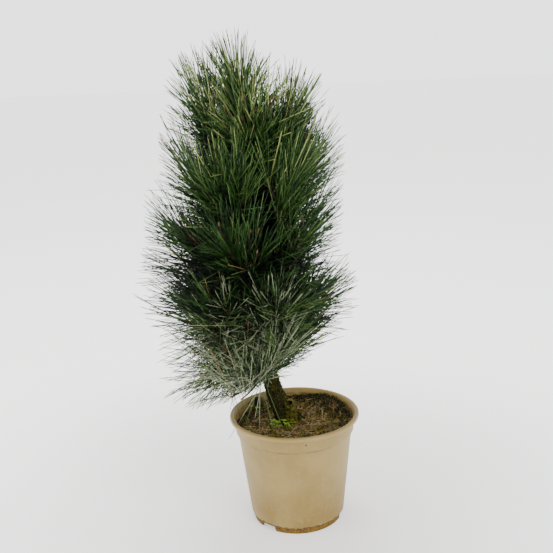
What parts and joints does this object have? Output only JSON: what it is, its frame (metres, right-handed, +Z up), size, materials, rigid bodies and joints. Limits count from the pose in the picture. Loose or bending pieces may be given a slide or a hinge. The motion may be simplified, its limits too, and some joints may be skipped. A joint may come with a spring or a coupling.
{
  "type": "potted columnar austrian pine",
  "caption": "Young columnar Austrian pine with whorls of steeply climbing boughs and long needles, growing in a round tapered plastic nursery pot filled with substrate.",
  "frame": {"origin": "middle of the pot's underside, on the flat middle pad of its floor", "axes": "+Z up along the pot's axis, -Y towards the picture's viewer, +X to the viewer's right; the trunk leans towards -X"},
  "size_m": [0.352, 0.3584, 0.7819],
  "materials": {
    "pot_plastic": "satin beige plastic with a muddy foot",
    "substrate": "damp bark mulch with moss",
    "bark": "rough and mossy",
    "needles": "waxy dark green needles"
  },
  "bodies": {
    "root": {"pot": "pot_plastic", "soil": "substrate", "trunk": "bark", "bough_low_1": "bark", "bough_low_2": "bark", "bough_low_3": "bark", "bough_low_4": "bark", "bough_low_5": "bark", "bough_skirt_1": "bark", "bough_skirt_2": "bark", "bough_skirt_3": "bark", "bough_skirt_4": "bark", "bough_skirt_5": "bark", "bough_middle_1": "bark", "bough_middle_2": "bark", "bough_middle_3": "bark", "bough_middle_4": "bark", "bough_middle_5": "bark", "bough_upper_1": "bark", "bough_upper_2": "bark", "bough_upper_3": "bark", "bough_upper_4": "bark", "bough_upper_5": "bark", "bough_high_1": "bark", "bough_high_2": "bark", "bough_high_3": "bark", "bough_high_4": "bark", "bough_second_leader": "bark", "foliage_low_1": "needles", "foliage_low_2": "needles", "foliage_low_3": "needles", "foliage_low_4": "needles", "foliage_low_5": "needles", "foliage_skirt_1": "needles", "foliage_skirt_2": "needles", "foliage_skirt_3": "needles", "foliage_skirt_4": "needles", "foliage_skirt_5": "needles", "foliage_middle_1": "needles", "foliage_middle_2": "needles", "foliage_middle_3": "needles", "foliage_middle_4": "needles", "foliage_middle_5": "needles", "foliage_upper_1": "needles", "foliage_upper_2": "needles", "foliage_upper_3": "needles", "foliage_upper_4": "needles", "foliage_upper_5": "needles", "foliage_high_1": "needles", "foliage_high_2": "needles", "foliage_high_3": "needles", "foliage_high_4": "needles", "foliage_second_leader": "needles", "foliage_leader": "needles"}
  },
  "joints": []
}
